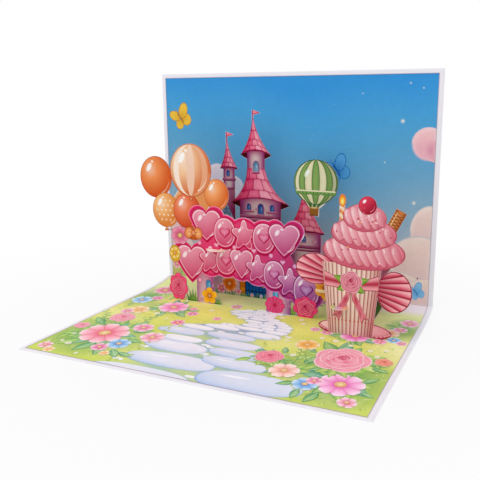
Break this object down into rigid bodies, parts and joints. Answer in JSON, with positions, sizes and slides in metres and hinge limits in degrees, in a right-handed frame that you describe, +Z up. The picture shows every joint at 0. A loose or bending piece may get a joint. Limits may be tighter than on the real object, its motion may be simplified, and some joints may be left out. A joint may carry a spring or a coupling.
{
  "type": "pop up card",
  "caption": "Pop-up greeting card, open at a right angle, with die-cut castle, arch and cupcake layers held on spacer strips.",
  "frame": {"origin": "middle of the base panel's footprint on the table, halfway from the fold to the free edge", "axes": "+Z up, +X along the fold, +Y from the free edge of the base panel to the fold and the upright panel"},
  "size_m": [0.2, 0.15, 0.1534],
  "materials": {
    "cover_card": "smooth uncoated card, white",
    "liner_print": "satin coated paper, printed sky and lawn",
    "castle_print": "satin coated card, printed castle",
    "arch_print": "satin coated card, printed puffy shapes",
    "cupcake_print": "satin coated card, printed cupcake",
    "spacer_print": "satin coated card, printed yellow and green"
  },
  "bodies": {
    "root": {"cover": "cover_card", "liner": "liner_print", "castle_layer": "castle_print", "arch_layer": "arch_print", "cupcake_layer": "cupcake_print", "left_spacer": "spacer_print", "right_spacer": "spacer_print", "low_spacer": "spacer_print", "high_spacer": "spacer_print"}
  },
  "joints": []
}
